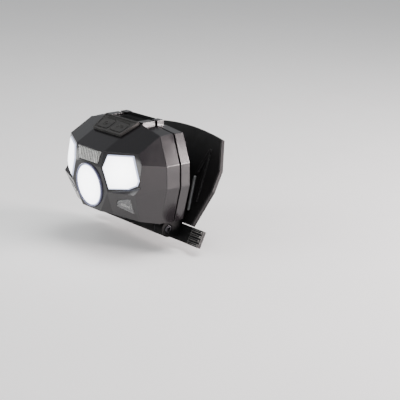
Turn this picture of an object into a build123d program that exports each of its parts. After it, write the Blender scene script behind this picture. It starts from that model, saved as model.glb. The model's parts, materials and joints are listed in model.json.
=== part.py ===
"""Helmet lamp for firefighters: a faceted lamp head on a tilting shield mount, built as separate pieces.

Millimetres, +Z up as worn, the lamp shines towards -Y, +X is the wearer's left.
The origin is the middle of the back face of the foot that slides into the helmet's shroud.
"""
from build123d import *
from math import atan2, cos, degrees, radians, sin
import os

# ---- driving dimensions of the lamp head ----
head_width = 70.0
front_depth = 29.4          # seam to the foremost edge
crown = 22.4                # seam middle to the top of the head
wall = 2.2
seam_gap = 1.0
band_depth = 7.7            # straight band of the front shell beside the seam
rear_band = 5.9
draft = 0.45                # how much smaller the bands are at their outer edges
fit = 0.15                  # gap all round a piece glued or clipped into its seat
slip = 0.3                  # gap all round a piece that moves

# ---- lights ----
spot_radius = 10.3
spot_drop = 5.5             # spot centre below the seam's middle
spot_depth = 12.0
ring_width = 0.6
ring_height = 0.9           # how far the ring round the spot stands out of the face
lens_recess = 0.3           # how far the spot lens lies behind the ring
lens_thick = 2.0
flood_depth = 4.0
board_thick = 1.2

# ---- keypad ----
button_travel = 0.8
pad_thick = 1.2
button_wide = 9.6
button_long = 6.6

# ---- energy ----
cell_radius = 8.1
cell_length = 50.0

# ---- mount ----
shield_lean = 27.0          # degrees the shield leans back from upright
shield_thick = 2.4
shield_half = 30.2          # half width at the top corners
shield_wide = 37.2          # half width at its widest
shield_tall = 46.0
foot_thick = 5.0
foot_half = 13.0
foot_tall = 30.0
release_travel = 3.0

half_width = head_width / 2
core = Vector(0, -8, 0)


def corner(out, ahead, up):
    """A corner of the head given as shares of its half width, front depth and crown height."""
    return Vector(out * half_width, -ahead * front_depth, up * crown)


def opposite(point):
    return Vector(-point.X, point.Y, point.Z)


# Corners of the wearer's left half of the head.
brow = corner(0.343, 0.952, 0.585)
waist = corner(0.313, 1.0, 0.232)
chin = corner(0.226, 0.956, -0.777)
temple = corner(0.834, 0.687, 0.679)
cheek = corner(0.894, 0.711, -0.098)
jut = corner(0.869, 0.816, -0.232)
jaw = corner(0.786, 0.636, -0.888)
inner_jaw = corner(0.429, 0.98, -0.286)
chin_side = corner(0.357, 0.854, -0.79)
pad_front = corner(0.34, 0.629, 0.821)
band_ahead = band_depth / front_depth
front_ring = [corner(0.84, band_ahead, 0.93), corner(0.983, band_ahead, 0.308),
              corner(0.983, band_ahead, -0.192), corner(0.826, band_ahead, -1.015)]
seam_ring = [corner(0.48, 0, 1), corner(0.853, 0, 0.938), corner(1, 0, 0.308),
             corner(1, 0, -0.192), corner(0.837, 0, -1.027)]


def facet(first, second, third):
    """The plane through three corners, facing away from the middle of the head."""
    normal = (second - first).cross(third - first).normalized()
    if normal.dot(first - core) < 0:
        normal = -normal
    return Plane(origin=first, z_dir=normal)


def both_sides(*corners):
    return [facet(*corners), facet(*[opposite(point) for point in corners])]


def keep_inside(solid, facets, inset=0.0):
    """Trim the solid to what lies behind every facet moved inward by the inset."""
    for plane in facets:
        solid = split(solid, bisect_by=plane.offset(-inset), keep=Keep.BOTTOM)
    return solid


brow_facet = facet(brow, opposite(brow), waist)
face_facet = facet(waist, opposite(waist), chin)
slope_facet = facet(brow, opposite(brow), pad_front)
pad_back = Vector(0.414 * half_width, -band_depth, 1.07 * crown)
pad_facet = facet(pad_front, opposite(pad_front), pad_back)
flood_facets = both_sides(brow, waist, temple)
sill_facets = both_sides(inner_jaw, jut, cheek)
lower_facets = both_sides(inner_jaw, jut, jaw)
chin_facets = both_sides(inner_jaw, chin, chin_side)
front_facets = [brow_facet, face_facet, slope_facet, pad_facet, facet(chin, opposite(chin), jaw)]
front_facets += both_sides(brow, pad_front, front_ring[0])
front_facets += both_sides(temple, front_ring[0], front_ring[1])
front_facets += both_sides(front_ring[1], front_ring[2], cheek)
front_facets += both_sides(front_ring[2], front_ring[3], jaw)
block_size = 3 * head_width


def band_facets(reach):
    """Facets of the band between the seam and a ring the draft smaller, reach mm from the seam."""
    facets = []
    ends = [opposite(seam_ring[0])] + seam_ring + [opposite(seam_ring[-1])]
    for start, end in zip(ends, ends[1:]):
        along = (end - start).normalized()
        inward = Vector(along.Z, 0, -along.X)
        if inward.dot(start) > 0:
            inward = -inward
        far_point = start + Vector(0, reach, 0) + inward * draft
        facets.append(facet(start, end, far_point))
        mirrored = facet(opposite(start), opposite(end), opposite(far_point))
        if abs(start.X + end.X) > draft:
            facets.append(mirrored)
    return facets


def slab(y_start, y_end):
    return Pos(0, (y_start + y_end) / 2, 0) * Box(block_size, y_end - y_start, block_size)


def front_block(inset):
    """The faceted front ahead of the band, with the flood facet and the sill below it."""
    body = keep_inside(slab(-block_size / 2, -band_depth + inset), front_facets, inset)
    upper = keep_inside(body, flood_facets + chin_facets, inset)
    sill = keep_inside(body, sill_facets + lower_facets, inset)
    return upper + sill


def rear_facets():
    """Facets behind the rear band, leaning in steeply towards the shield."""
    lean = 55
    facets = []
    ends = [opposite(seam_ring[0])] + seam_ring
    for start, end in zip(ends, ends[1:]):
        along = (end - start).normalized()
        outward = Vector(-along.Z, 0, along.X)
        if outward.dot(start) < 0:
            outward = -outward
        normal = outward * cos(radians(lean)) + Vector(0, 1, 0) * sin(radians(lean))
        origin = start + Vector(0, rear_band, 0) - outward * draft
        facets.append(Plane(origin=origin, z_dir=normal))
        if abs(start.X + end.X) > draft:
            facets.append(Plane(origin=opposite(origin), z_dir=opposite(normal)))
    return facets


# The shield's front face, seen from the head: its plane leans back and passes behind the head.
lean = radians(shield_lean)
shield_face = Vector(0, -cos(lean), sin(lean))
shield_middle = Vector(0, 17.25, -9.06)      # middle of the shield's front face from the seam's middle
down_shield = Vector(0, -sin(lean), -cos(lean))
back_gap = 3.0
head_back = Plane(origin=shield_middle + shield_face * back_gap, z_dir=-shield_face)


def rear_block(inset):
    body = slab(seam_gap / 2 - inset, 30)
    body = keep_inside(body, band_facets(rear_band), inset)
    body = keep_inside(body, rear_facets(), inset)
    return keep_inside(body, [head_back], inset)



# ---- places on the facets ----
def facet_frame(plane, centre):
    """A sketch plane on a facet: x runs level towards the wearer's left, z points out of the lamp."""
    level = Vector(0, 0, 1).cross(plane.z_dir)
    if level.X < 0:
        level = -level
    return Plane(origin=centre, x_dir=level, z_dir=plane.z_dir)


def point_on(plane, x, z):
    """The point of a facet at a given x and z."""
    normal = plane.z_dir
    y = (normal.dot(plane.origin) - normal.X * x - normal.Z * z) / normal.Y
    return Vector(x, y, z)


spot_frame = facet_frame(face_facet, point_on(face_facet, 0, -spot_drop))
flood_frame = facet_frame(flood_facets[0], point_on(flood_facets[0], 0.663 * half_width, 0.17 * crown))
side_frame = facet_frame(lower_facets[0], point_on(lower_facets[0], 0.627 * half_width, -0.507 * crown))
window_frame = facet_frame(brow_facet, point_on(brow_facet, 0, 0.422 * crown))
pad_middle = (pad_front + pad_back) * 0.5
pad_frame = Plane(origin=(0, pad_middle.Y, pad_middle.Z), x_dir=(1, 0, 0), z_dir=pad_facet.z_dir)
width_share = half_width / 35
flood_outline = [(-9.6, 8.0), (-12.3, 1.5), (-8.3, -8.4), (2.6, -7.2), (7.4, -4.9), (8.3, -2.4), (4.8, 8.9)]
side_outline = [(-3.4, 0.7), (-4.1, -1.7), (-3.0, -2.6), (4.9, -4.8), (5.0, 3.3), (3.2, 3.5), (-2.5, 1.7)]
window_outline = [(-9.8, 3.0), (9.8, 3.0), (7.8, -2.9), (-7.8, -2.9)]
pad_outline = [(-11.6, -5.6), (11.6, -5.6), (14.0, 5.6), (-14.0, 5.6)]


def outlined(points, spread=0.0):
    """A sketch with straight sides through the points, grown by the spread."""
    sketch = make_face(Polyline(*[(x * width_share, y) for x, y in points], close=True))
    if spread:
        sketch = offset(sketch, amount=spread, kind=Kind.INTERSECTION)
    return sketch


def raised(frame, sketch, low, high):
    """The sketch laid on a frame and filled between two heights above it."""
    return frame * (Pos(0, 0, low) * extrude(sketch, high - low))


def round_bar(frame, x, y, radius, low, high):
    return frame * (Pos(x, y, (low + high) / 2) * Cylinder(radius, high - low))


def brick(frame, x, y, wide, tall, low, high):
    return frame * (Pos(x, y, (low + high) / 2) * Box(wide, tall, high - low))


def mirrored(solid):
    return mirror(solid, about=Plane.YZ)


across = Plane(origin=(0, 0, 0), x_dir=(0, 1, 0), z_dir=(1, 0, 0))          # sketches seen along the hinge

# ---- head: joints between its pieces ----
shell_screw_places = [(0.79 * half_width, 0.66 * crown), (0.69 * half_width, seam_ring[-1].Z + 4.9)]
shell_screw_radius = 1.25
boss_radius = 3.2
screw_head_radius = 2.4
screw_head_tall = 1.8
screw_seat = 5.5
lug_half = 19.4
axis_y = -0.8
axis_z = seam_ring[-1].Z - 4.4
lug_round = 4.0
pivot_radius = 1.5
lug_screw_x = 7.0
port_y = -4.2
port_wide = 9.0
port_deep = 3.2
port_tall = 7.2
block_inner = 10.8
block_outer = 15.6
block_top = crown + 2.3
pin_y = 2.9
pin_z = crown + 1.35
pin_radius = 0.6
barrel_radius = 1.2
button_places = [("light_button", 5.6), ("sensor_button", -6.0)]
stem_radius = 1.4
stem_foot = -3.0            # lower end of a key's stem below the facet
cap_low = 0.95              # underside of a key cap above the facet
cap_high = 1.45             # its top


def hex_socket(radius, deep):
    """A hexagonal plug, cut from a screw's head for its key."""
    return extrude(RegularPolygon(radius, 6), deep)


def on_side(side, near, far):
    """The two x ends of a piece that runs between two distances from the middle, on one side."""
    return sorted((side * near, side * far))


def tube_along_y(x, z, radius, start, end):
    return Pos(x, (start + end) / 2, z) * Rot(90, 0, 0) * Cylinder(radius, end - start)


def rod_along_x(start, end, y, z, radius):
    return Pos((start + end) / 2, y, z) * Rot(0, 90, 0) * Cylinder(radius, end - start)


def box_between(x0, x1, y0, y1, z0, z1):
    return Pos((x0 + x1) / 2, (y0 + y1) / 2, (z0 + z1) / 2) * Box(x1 - x0, y1 - y0, z1 - z0)


def screw_sites():
    return [(side * x, z) for x, z in shell_screw_places for side in (1, -1)]


def front_shell():
    band = keep_inside(slab(-band_depth, -seam_gap / 2), band_facets(-band_depth))
    outside = front_block(0) + band
    cavity = front_block(wall) + keep_inside(slab(-band_depth - wall, 0), band_facets(-band_depth), wall)
    bosses = [tube_along_y(x, z, boss_radius, -9, 0) for x, z in screw_sites()]
    shell = outside - cavity + [outside & boss for boss in bosses]
    for side in (1, -1):
        x0, x1 = on_side(side, block_inner, block_outer)
        shell += box_between(x0, x1, -band_depth, -seam_gap / 2 - 0.1, crown - 1.5, block_top)
    shell -= round_bar(spot_frame, 0, 0, spot_radius + ring_width + fit, -wall - 2, 1)
    flood_cut = raised(flood_frame, outlined(flood_outline, fit), -wall - 2, 2)
    side_cut = raised(side_frame, outlined(side_outline, fit), -wall - 1, 1)
    for cut in (flood_cut, side_cut):
        shell = shell - cut - mirrored(cut)
    shell -= raised(window_frame, outlined(window_outline, fit), -wall - 1, 1)
    for _, x in button_places:
        shell -= round_bar(pad_frame, x * width_share, -0.4, stem_radius + slip, -wall - 3, 2)
    shell -= box_between(-port_wide / 2 - fit, port_wide / 2 + fit, port_y - port_deep / 2 - fit,
                         port_y + port_deep / 2 + fit, crown - wall - 2, crown + 1)
    for x, z in screw_sites():
        shell -= tube_along_y(x, z, shell_screw_radius + fit, -8, 1)
    for side in (1, -1):
        shell -= Pos(side * lug_screw_x, axis_y - 2, axis_z + 6) * Cylinder(1.4 + fit, 8)
    return shell


def rear_shell():
    outside = rear_block(0)
    shell = outside - rear_block(wall)
    for x, z in screw_sites():
        shell += outside & tube_along_y(x, z, boss_radius, seam_gap / 2, 12)
    for side in (1, -1):
        x0, x1 = on_side(side, block_inner, block_outer)
        shell += box_between(x0, x1, seam_gap / 2 + 0.4, pin_y + 1.9, crown - 1.5, block_top)
    shell -= rod_along_x(-head_width / 4, block_outer - 1, pin_y, pin_z, pin_radius + 0.05)
    for x, z in screw_sites():
        shell -= tube_along_y(x, z, shell_screw_radius + fit, -1, screw_seat + 1)
        shell -= tube_along_y(x, z, screw_head_radius + slip, screw_seat, 20)
    return shell


def shell_gasket():
    half = seam_gap / 2 - fit
    outer = keep_inside(slab(-half, half), band_facets(-band_depth), 0.8)
    inner = keep_inside(slab(-half - 1, half + 1), band_facets(-band_depth), wall - 0.2)
    return outer - inner


def shell_screws():
    screws = []
    for x, z in screw_sites():
        shank = tube_along_y(x, z, shell_screw_radius, -7, screw_seat + 0.1)
        cap = tube_along_y(x, z, screw_head_radius, screw_seat + 0.1, screw_seat + 0.1 + screw_head_tall)
        socket = Pos(x, screw_seat + screw_head_tall - 1.2, z) * Rot(-90, 0, 0) * hex_socket(1.2, 2)
        screws.append(shank + cap - socket)
    return Compound(children=screws)


# ---- lights ----
def spot_ring():
    low = -wall + 0.1
    ring = Cylinder(spot_radius + ring_width, ring_height - low) - Cylinder(spot_radius, 4 * ring_height + 4)
    ring = chamfer(ring.edges().group_by(Axis.Z)[-1], 0.2)
    return spot_frame * (Pos(0, 0, (ring_height + low) / 2) * ring)


def spot_lens():
    disc = Cylinder(spot_radius - fit, lens_thick)
    disc = chamfer(disc.edges().group_by(Axis.Z)[-1], 0.4)
    return spot_frame * (Pos(0, 0, ring_height - lens_recess - lens_thick / 2) * disc)


cup_rim = spot_radius - 1.1
cup_neck = 3.0
cup_top = ring_height - lens_recess - lens_thick - 0.05
cup_low = cup_top - spot_depth


def spot_reflector():
    """A thin cup whose inside is a parabola, standing on the emitter's board."""
    pull = (cup_rim ** 2 - cup_neck ** 2) / spot_depth
    bend = cup_low + cup_neck * (cup_rim - cup_neck) / pull
    skin = 1.0
    inside = Bezier((cup_rim, cup_top), ((cup_rim + cup_neck) / 2, bend), (cup_neck, cup_low))
    outside = Bezier((cup_neck + skin, cup_low), ((cup_rim + cup_neck) / 2 + skin, bend - skin),
                     (cup_rim + skin, -wall - skin))
    lip_low = -wall - skin
    lip_high = -wall + 0.05
    ring_edge = spot_radius + ring_width
    lip = Polyline((cup_rim + skin, lip_low), (ring_edge, lip_low), (ring_edge, lip_high),
                   (spot_radius - fit, lip_high), (spot_radius - fit, cup_top), (cup_rim, cup_top))
    foot = Line((cup_neck, cup_low), (cup_neck + skin, cup_low))
    profile = Plane.XZ * make_face([inside, foot, outside, lip])
    return spot_frame * revolve(profile, Axis.Z)


board_top = cup_low - 0.05


def spot_led():
    board = round_bar(spot_frame, 0, 0, 7.0, board_top - board_thick, board_top)
    chip = brick(spot_frame, 0, 0, 3.4, 3.4, board_top - 0.1, board_top + 0.7)
    dome = spot_frame * (Pos(0, 0, board_top + 0.6) * Sphere(1.3))
    dome -= brick(spot_frame, 0, 0, 6, 6, board_top - 3, board_top + 0.3)
    return board + chip + dome


heat_plate = 1.8      # the plate behind the spot
heat_wing = 1.3       # the wing behind each flood
wing_tall = 10.0
fin_pitch = 4.2
fin_thick = 1.2


def heatsink():
    """A finned plate behind the spot, with a web and a wing on each side that reach the floods' boards."""
    top = board_top - board_thick - 0.05
    back = top - heat_plate
    plate_half = 14.6 * width_share
    body = brick(spot_frame, 0, 0, 2 * plate_half, 20, back, top)
    for index in range(-3, 4):
        body += brick(spot_frame, index * fin_pitch, 0, fin_thick, 18, back - 1.1, back + 0.3)
    wing_top = -flood_depth - 2.2
    bridge_x = -4.6
    wing = brick(flood_frame, -0.8, 0, 8.4, wing_tall, wing_top - heat_wing, wing_top)
    bridge = brick(flood_frame, bridge_x, 0, 6, wing_tall, wing_top - heat_wing, wing_top)
    start = flood_frame.from_local_coords(Vector(bridge_x, 0, wing_top - 0.6))
    web = box_between(plate_half - 1.6, plate_half, start.Y - 0.8, start.Y + 8, -wing_tall / 2, wing_tall / 2)
    return body + wing + bridge + mirrored(wing + bridge) + web + mirrored(web)


def flood_lens():
    pane = extrude(outlined(flood_outline), lens_thick)
    pane = chamfer(pane.edges().group_by(Axis.Z)[-1], 0.5)
    return flood_frame * (Pos(0, 0, 0.6 - lens_thick) * pane)


def flood_tray():
    rim = raised(flood_frame, outlined(flood_outline, -0.05), -2.4, -1.5)
    wall_part = raised(flood_frame, outlined(flood_outline, -0.5), -flood_depth - 0.8, -2.3)
    hollow = raised(flood_frame, outlined(flood_outline, -1.5), -flood_depth - 2, 0)
    return rim + wall_part - hollow


def flood_board():
    low = -flood_depth - 2.1
    board = raised(flood_frame, outlined(flood_outline, -0.5), low, low + board_thick)
    emitter = raised(flood_frame, outlined(flood_outline, -3), low + board_thick - 0.1, low + board_thick + 0.5)
    return board + emitter


def signal_window():
    pane = raised(window_frame, outlined(window_outline), -1.6, 0.2)
    for index in range(-5, 6):
        pane += brick(window_frame, index * 1.4 * width_share, 0, 0.6, 5.2, 0.1, 0.45)
    return pane


def signal_board():
    board = brick(window_frame, 0, 0, 15, 4.6, -3.9, -2.9)
    for index in (-1, 0, 1):
        board += brick(window_frame, index * 4.6, 0, 2.8, 2.4, -3.0, -1.8)
    return board


def side_window():
    pane = extrude(outlined(side_outline), 1.7)
    pane = chamfer(pane.edges().group_by(Axis.Z)[-1], 0.35)
    return side_frame * (Pos(0, 0, -1.4) * pane)


def side_led():
    board = brick(side_frame, 0.8, -0.4, 6.4, 4.6, -3.8, -2.8)
    return board + brick(side_frame, 0.8, -0.4, 2.8, 2.8, -2.9, -1.6)


# ---- keypad ----
def keypad():
    """A rubber pad on the sloping top with a raised rim, fine grooves at its back and two openings."""
    pad = raised(pad_frame, outlined(pad_outline), 0.05, pad_thick)
    rim = raised(pad_frame, outlined(pad_outline), pad_thick - 0.1, pad_thick + 0.35)
    rim -= raised(pad_frame, outlined(pad_outline, -0.8), 0, 3)
    pad += rim
    for index in range(3):
        pad -= brick(pad_frame, 0, 4.55 - index * 0.65, 20, 0.3, pad_thick - 0.3, pad_thick + 0.2)
    for _, x in button_places:
        opening = RectangleRounded(button_wide + 2 * slip, button_long + 2 * slip, 1.5 + slip)
        pad -= pad_frame * (Pos(x * width_share, -0.7, -1) * extrude(opening, 4))
    return pad


def button(x):
    outline = RectangleRounded(button_wide, button_long, 1.5)
    cap = Pos(x * width_share, -0.7, cap_low) * extrude(outline, cap_high - cap_low)
    cap = fillet(cap.edges().group_by(Axis.Z)[-1], 0.3)
    stem = Cylinder(stem_radius, cap_low - stem_foot + 0.2)
    stem = Pos(x * width_share, -0.4, (cap_low + stem_foot) / 2) * stem
    return cap + stem


def light_button():
    """The larger light key, with a fan of slanted strokes on its cap."""
    key = button(button_places[0][1])
    for index in range(5):
        turn = 60 - 30 * index
        key += (Pos(button_places[0][1] * width_share, -1.9, cap_high + 0.05) * Rot(0, 0, turn)
                * Pos(0, 2.3, 0) * Box(0.5, 1.4, 0.4))
    return pad_frame * key


def sensor_button():
    """The sensor key, with a dot inside an open ring on its cap."""
    key = button(button_places[1][1])
    mark = Cylinder(1.5, 0.4) - Cylinder(1.05, 1) - Pos(0, -1.5, 0) * Box(1, 1.6, 1) + Cylinder(0.45, 0.4)
    return pad_frame * (key + Pos(button_places[1][1] * width_share, -0.7, cap_high + 0.05) * mark)


def switch_board():
    board = brick(pad_frame, 0, -0.4, 22, 7.2, -6.2, -5.2)
    for _, x in button_places:
        board += brick(pad_frame, x * width_share, -0.4, 4, 4, -5.3, -4.3)
        board += round_bar(pad_frame, x * width_share, -0.4, 0.8, -4.4, stem_foot - button_travel - 0.1)
    return board


# ---- energy ----
cell_y = 1.2
cell_z = 1.0


tip_radius = 3.0
cell_play = 0.2
tray_wall = 1.1
tray_end = 1.2


def battery_cell():
    half = cell_length / 2
    body = rod_along_x(-half, half - 1, cell_y, cell_z, cell_radius)
    return body + rod_along_x(half - 1.2, half, cell_y, cell_z, tip_radius)


def battery_tray():
    hollow_half = cell_length / 2 + cell_play
    hollow_radius = cell_radius + cell_play
    outer_half = hollow_half + tray_end
    outer = rod_along_x(-outer_half, outer_half, cell_y, cell_z, hollow_radius + tray_wall)
    body = outer - rod_along_x(-hollow_half, hollow_half, cell_y, cell_z, hollow_radius)
    body &= box_between(-40, 40, -5.5, 5.5, -20, cell_z - 2)
    return body


driver_half_wide = 21.0
driver_half_tall = 12.0
driver_back = -7.3
driver_front = driver_back - 1.2
driver_chips = [(-14, 5, 7, 7), (2, -4, 9, 9), (14, 4, 6, 8), (-12, -7, 5, 4)]      # x, z, width, height


def driver_board():
    """The driver board in front of the cell, with its chips on the side away from it."""
    board = box_between(-driver_half_wide, driver_half_wide, driver_front, driver_back,
                        -driver_half_tall, driver_half_tall)
    for x, z, wide, tall in driver_chips:
        board += box_between(x - wide / 2, x + wide / 2, driver_front - 0.8, driver_front + 0.1,
                             z - tall / 2, z + tall / 2)
    return board


port_top = crown - 0.4
port_skin = 0.4


def charge_port():
    half_wide = port_wide / 2
    half_deep = port_deep / 2
    shell = box_between(-half_wide, half_wide, port_y - half_deep, port_y + half_deep,
                        port_top - port_tall, port_top)
    hollow = box_between(-half_wide + port_skin, half_wide - port_skin, port_y - half_deep + port_skin,
                         port_y + half_deep - port_skin, port_top - port_tall + 3 * port_skin, crown + 1)
    tongue = box_between(-3.2, 3.2, port_y - 0.35, port_y + 0.35, crown - port_tall, crown - 1.2)
    return shell - hollow + tongue


def charge_flap():
    """A lid over the charging port, hinged on the steel pin behind it."""
    half = block_inner - slip - 0.1
    low = crown + 0.25
    high = crown + 1.35
    rib_wide = 0.6
    lid = box_between(-half, half, -band_depth + 0.4, pin_y, low, high)
    for index in range(3):
        front = -5.6 + index * 1.4
        lid += box_between(-half + 2, half - 2, front, front + rib_wide, high - 0.1, high + 0.25)
    barrel = rod_along_x(-half, half, pin_y, pin_z, barrel_radius)
    lid = lid + barrel - box_between(-half - 1, half + 1, pin_y, pin_y + 3, 0, 40)
    lid = lid + barrel
    return lid - rod_along_x(-half - 1, half + 1, pin_y, pin_z, pin_radius + 0.05)


def flap_pin():
    return rod_along_x(-block_outer + 0.2, block_outer - 1.1, pin_y, pin_z, pin_radius)


# ---- tilting hinge under the head ----
lug_screw_radius = 1.4
lug_screw_y = axis_y - 2


def hinge_lug():
    top = seam_ring[-1].Z + 0.02
    barrel = rod_along_x(-lug_half, lug_half, axis_y, axis_z, lug_round)
    neck = box_between(-lug_half, lug_half, axis_y - lug_round, axis_y + lug_round, axis_z, top)
    body = barrel + neck
    for side in (1, -1):
        x0, x1 = on_side(side, 10, lug_half + 1)
        body -= rod_along_x(x0, x1, axis_y, axis_z, pivot_radius + 0.05)
        body -= Pos(side * lug_screw_x, lug_screw_y, top - 3) * Cylinder(lug_screw_radius + 0.05, 6.2)
    return body


def lug_screws():
    top = seam_ring[-1].Z + wall + 0.45
    screws = []
    for side in (1, -1):
        shank = Pos(side * lug_screw_x, lug_screw_y, top - 3.6) * Cylinder(lug_screw_radius, 7.2)
        cap = Pos(side * lug_screw_x, lug_screw_y, top + 0.9) * Cylinder(lug_screw_radius + 1, 1.8)
        screws.append(shank + cap)
    return Compound(children=screws)


ear_inner = lug_half + 0.7
ear_outer = 26.0
pivot_head = 2.1


def hinge_screws():
    screws = []
    for side in (1, -1):
        seat = ear_outer - 1.9
        x0, x1 = on_side(side, 11, seat)
        screw = rod_along_x(x0, x1, axis_y, axis_z, pivot_radius)
        x0, x1 = on_side(side, seat, ear_outer + 0.2)
        screw += rod_along_x(x0, x1, axis_y, axis_z, pivot_head)
        socket = Pos(side * (ear_outer - 1), axis_y, axis_z) * Rot(0, side * 90, 0) * hex_socket(1.3, 2)
        screws.append(screw - socket)
    return Compound(children=screws)


def friction_washers():
    washers = []
    for side in (1, -1):
        x0, x1 = on_side(side, lug_half + 0.05, ear_inner - 0.05)
        disc = rod_along_x(x0, x1, axis_y, axis_z, lug_round - 0.1)
        washers.append(disc - rod_along_x(x0 - 1, x1 + 1, axis_y, axis_z, pivot_radius + 0.1))
    return Compound(children=washers)


# ---- shield and shroud foot, laid out on the shield's own plane ----
stand = shield_thick + foot_thick
shield_plane = Plane(origin=shield_middle, x_dir=(1, 0, 0), z_dir=shield_face)
pivot_height = (Vector(0, axis_y, axis_z) - shield_middle).dot(shield_plane.y_dir)
shield_low = pivot_height + 5.54
shield_top = shield_low + shield_tall - 1.0
arch_rise = 2.8
slider_top = shield_low - 0.4
slider_low = slider_top - 8.6
slider_half = 43.2
bar_half = 41.0
screw_rows = [(9.0, 10.0), (9.0, -10.0)]


def shield_outline():
    right = [(shield_half, shield_top), (shield_wide, 11.0), (shield_wide, 0.0), (shield_wide - 5, shield_low)]
    left = [(-x, y) for x, y in reversed(right)]
    sides = Polyline(*right, *left)
    arch = ThreePointArc(left[-1], (0, shield_top + arch_rise), right[0])
    return make_face([sides, arch])


def stroke(start, end, width):
    """A straight stroke with round ends."""
    run = Vector(*end) - Vector(*start)
    middle = (Vector(*start) + Vector(*end)) * 0.5
    return Pos(middle.X, middle.Y) * Rot(0, 0, degrees(atan2(run.Y, run.X))) * SlotCenterToCenter(run.length, width)


ridge_apex = (25.8, 19.0)
ridge_feet = [(22.4, 7.0), (29.2, -6.3)]
bar_ends = [(22.0, 4.2), (26.0, -11.6)]
bar_radius = 0.85


def guard_bar_solid(radius):
    start = shield_plane.from_local_coords(Vector(*bar_ends[0], 0.3))
    end = shield_plane.from_local_coords(Vector(*bar_ends[1], 0.3))
    along = (end - start).normalized()
    span = (end - start).length
    bar = Plane(origin=(start + end) * 0.5, z_dir=along) * Cylinder(radius, span)
    for tip in (start, end):
        bar += Pos(*tip) * Sphere(radius)
    return bar


def guard_bars():
    bar = guard_bar_solid(bar_radius)
    return Compound(children=[bar, mirrored(bar)])


def shield_plate():
    plate = extrude(shield_outline(), -shield_thick)
    plate = chamfer(plate.edges().group_by(Axis.Z)[-1], 0.5)
    plate = shield_plane * plate
    for foot in ridge_feet:
        ridge = raised(shield_plane, stroke(ridge_apex, foot, 1.6), -0.2, 0.7)
        plate = plate + ridge + mirrored(ridge)
    groove = guard_bar_solid(bar_radius + 0.12)
    plate = plate - groove - mirrored(groove)
    for x, y in foot_screw_places():
        plate -= round_bar(shield_plane, x, y, 1.25 + fit, -shield_thick - 1, 1)
        plate -= round_bar(shield_plane, x, y, screw_head_radius + fit, -1.6, 1)
    for x, y in yoke_screw_places():
        plate -= round_bar(shield_plane, x, y, 1.25 + fit, -shield_thick - 1, 1)
        plate -= round_bar(shield_plane, x, y, screw_head_radius + fit, -shield_thick - 1, -shield_thick + 1.5)
    return plate


def foot_screw_places():
    return [(side * x, y) for x, y in screw_rows for side in (1, -1)]


def yoke_screw_places():
    return [(side * 23.2, shield_low + 3.4) for side in (1, -1)]


def foot_screws():
    screws = []
    for x, y in foot_screw_places():
        screw = round_bar(shield_plane, x, y, 1.25, -shield_thick - 3.8, -1.5)
        screw += round_bar(shield_plane, x, y, screw_head_radius, -1.5, -0.1)
        screws.append(screw - shield_plane * (Pos(x, y, -1.0) * hex_socket(1.2, 2)))
    return Compound(children=screws)


yoke_base = 2.0


def yoke_screws():
    screws = []
    for x, y in yoke_screw_places():
        screw = round_bar(shield_plane, x, y, 1.25, -shield_thick + 1.3, yoke_base - 0.4)
        screw += round_bar(shield_plane, x, y, screw_head_radius, -shield_thick + 0.1, -shield_thick + 1.4)
        screws.append(screw - shield_plane * (Pos(x, y, -shield_thick - 1) * hex_socket(1.2, 1.9)))
    return Compound(children=screws)


def yoke():
    """A base screwed to the shield with two rounded ears that hold the lug."""
    base = brick(shield_plane, 0, shield_low + 3.1, 2 * ear_outer, 6.0, 0.05, yoke_base)
    clear = 0.4
    upper = shield_plane.from_local_coords(Vector(0, shield_low + 1.6, clear))
    lower = shield_plane.from_local_coords(Vector(0, slider_low + 2.0, clear))
    ear_top = axis_z + lug_round
    profile = make_face(Polyline((axis_y, ear_top), (upper.Y, ear_top), (lower.Y, lower.Z),
                                 (axis_y, axis_z - lug_round), close=True))
    side_shape = profile + Pos(axis_y, axis_z) * Circle(lug_round)
    body = base
    ear = across * extrude(side_shape, ear_outer - ear_inner)
    for start in (ear_inner, -ear_outer):
        body += Pos(start, 0, 0) * ear
    beam_shape = Polyline((axis_y + 5.4, axis_z - 4.0), (axis_y + 5.4, axis_z + 0.5),
                          (upper.Y, axis_z + lug_round), (lower.Y, lower.Z), close=True)
    body += Pos(-ear_inner - 1, 0, 0) * (across * extrude(make_face(beam_shape), 2 * ear_inner + 2))
    for side in (1, -1):
        x0, x1 = on_side(side, ear_inner - 1, ear_outer + 1)
        body -= rod_along_x(x0, x1, axis_y, axis_z, pivot_radius + 0.1)
        x0, x1 = on_side(side, ear_outer - 2, ear_outer + 1)
        body -= rod_along_x(x0, x1, axis_y, axis_z, pivot_head + slip)
    for x, y in yoke_screw_places():
        body -= round_bar(shield_plane, x, y, 1.25 + 0.05, -1, yoke_base - 0.3)
    return body


# ---- release: a slider below the shield, its tongue and tooth in the foot, and two springs ----
chamber_half = 7.6          # spring chamber in the foot
chamber_top = 8.2
ledge = -6.0                # height of the chamber's floor, which the springs stand on
head_low = 3.0              # the tongue's wide head, which the springs push up
head_high = 6.4
stem_half = 2.9             # half width of the tongue's stem
tooth_half = 2.6
foot_front = -shield_thick - 0.05
tongue_front = -shield_thick - slip
tongue_back = -shield_thick - 2.4
head_back_face = -shield_thick - 3.5
chamber_back = -shield_thick - 3.8
foot_back = -shield_thick - foot_thick
rib_pitch = 2.1


def foot_outline():
    """The foot's dovetail section: narrow behind the shield, waisted, with a thin rim at its back."""
    depth = foot_thick - 0.05
    waist_depth = depth - 1.4
    rim_half = foot_half + 0.6
    right = [(foot_half, 0), (foot_half - 2, waist_depth), (rim_half, depth - 0.6), (rim_half, depth)]
    left = [(-x, y) for x, y in reversed(right)]
    return make_face(Polyline(*left, *right, close=True))


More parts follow.
